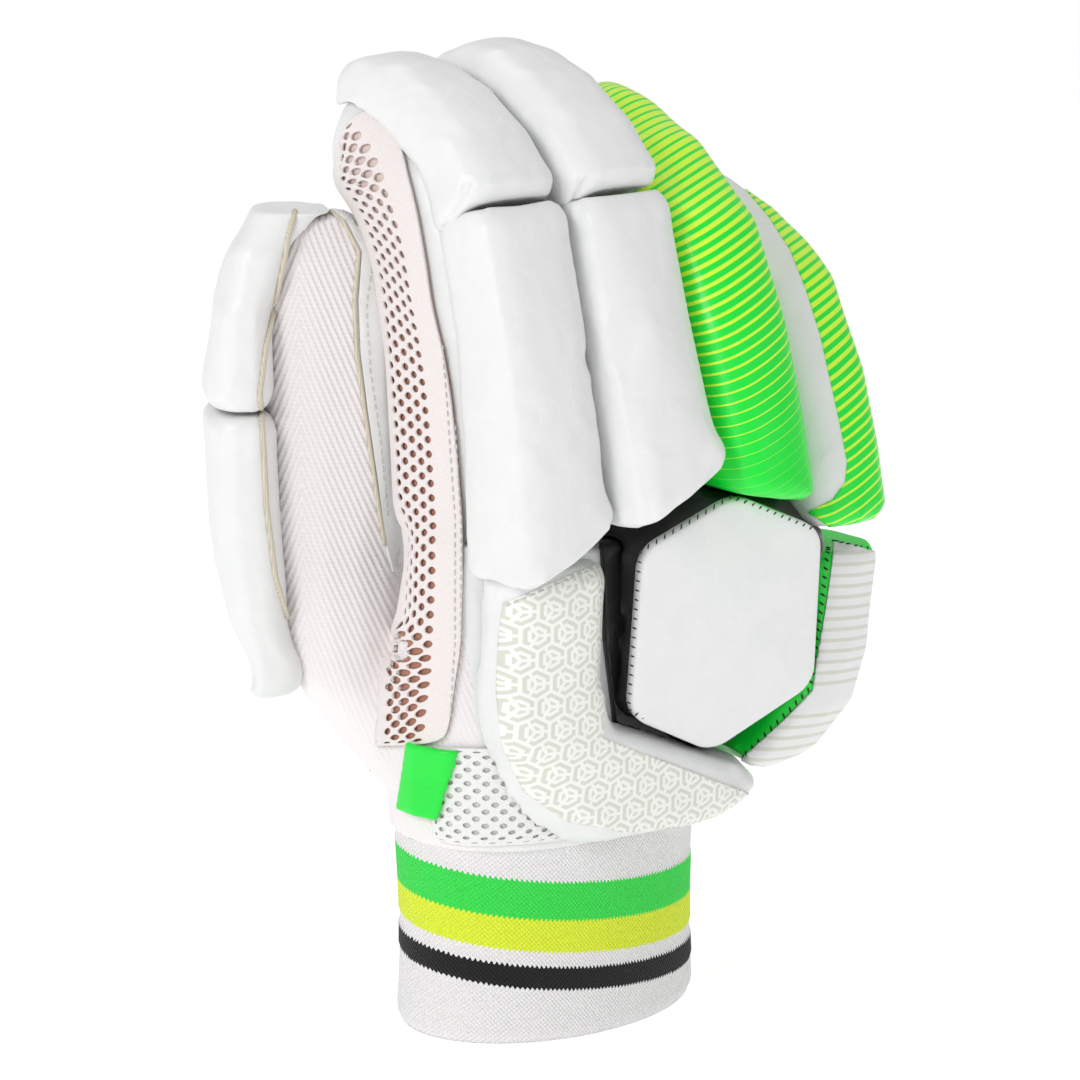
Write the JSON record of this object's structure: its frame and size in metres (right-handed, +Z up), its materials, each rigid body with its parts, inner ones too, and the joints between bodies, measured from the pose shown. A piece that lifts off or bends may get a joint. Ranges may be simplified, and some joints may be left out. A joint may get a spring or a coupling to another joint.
{
  "type": "cricket batting glove",
  "caption": "Right-hand padded batting glove: curled finger rolls, hexagonal knuckle pad, L-shaped gauntlet pad, mesh gusset, padded thumb and knitted elastic cuff, hollow for a hand.",
  "frame": {"origin": "middle of the cuff's mouth, where the wrist goes in", "axes": "+Z runs up from the wrist to the fingertips, -Y is the back of the hand and -X the thumb side"},
  "size_m": [0.1628, 0.1282, 0.2567],
  "materials": {
    "white_leather": "soft satin leather",
    "green_stripe_leather": "satin leather with printed cross stripes",
    "green_leather": "satin leather",
    "black_leather": "satin leather",
    "hexagon_leather": "satin leather with a pale hexagon print",
    "striped_leather": "satin leather with pale stripes",
    "stall_leather": "soft matt leather",
    "tab_leather": "satin leather",
    "cuff_knit": "knitted elastic with coloured bands",
    "palm_knit": "fine knit",
    "thumb_knit": "ribbed knit",
    "side_mesh": "open mesh",
    "spacer_mesh": "spacer mesh"
  },
  "bodies": {
    "root": {"wrist_cuff": "cuff_knit", "hand_shell": "palm_knit", "index_stall": "stall_leather", "middle_stall": "stall_leather", "ring_stall": "stall_leather", "little_stall": "stall_leather", "thumb_stall": "thumb_knit", "side_mesh": "side_mesh", "wrist_mesh": "spacer_mesh", "index_pad_lower": "white_leather", "index_pad_tip": "white_leather", "middle_pad_lower": "white_leather", "middle_pad_tip": "white_leather", "ring_pad": "green_stripe_leather", "little_pad": "white_leather", "little_pad_face": "green_stripe_leather", "thumb_pad_lower": "white_leather", "thumb_pad_tip": "white_leather", "thumb_strip": "white_leather", "knuckle_pad": "black_leather", "knuckle_pad_face": "white_leather", "gauntlet_pad": "white_leather", "gauntlet_pad_face": "hexagon_leather", "ulnar_pad": "green_leather", "ulnar_pad_face": "striped_leather", "pull_tab": "tab_leather"}
  },
  "joints": []
}
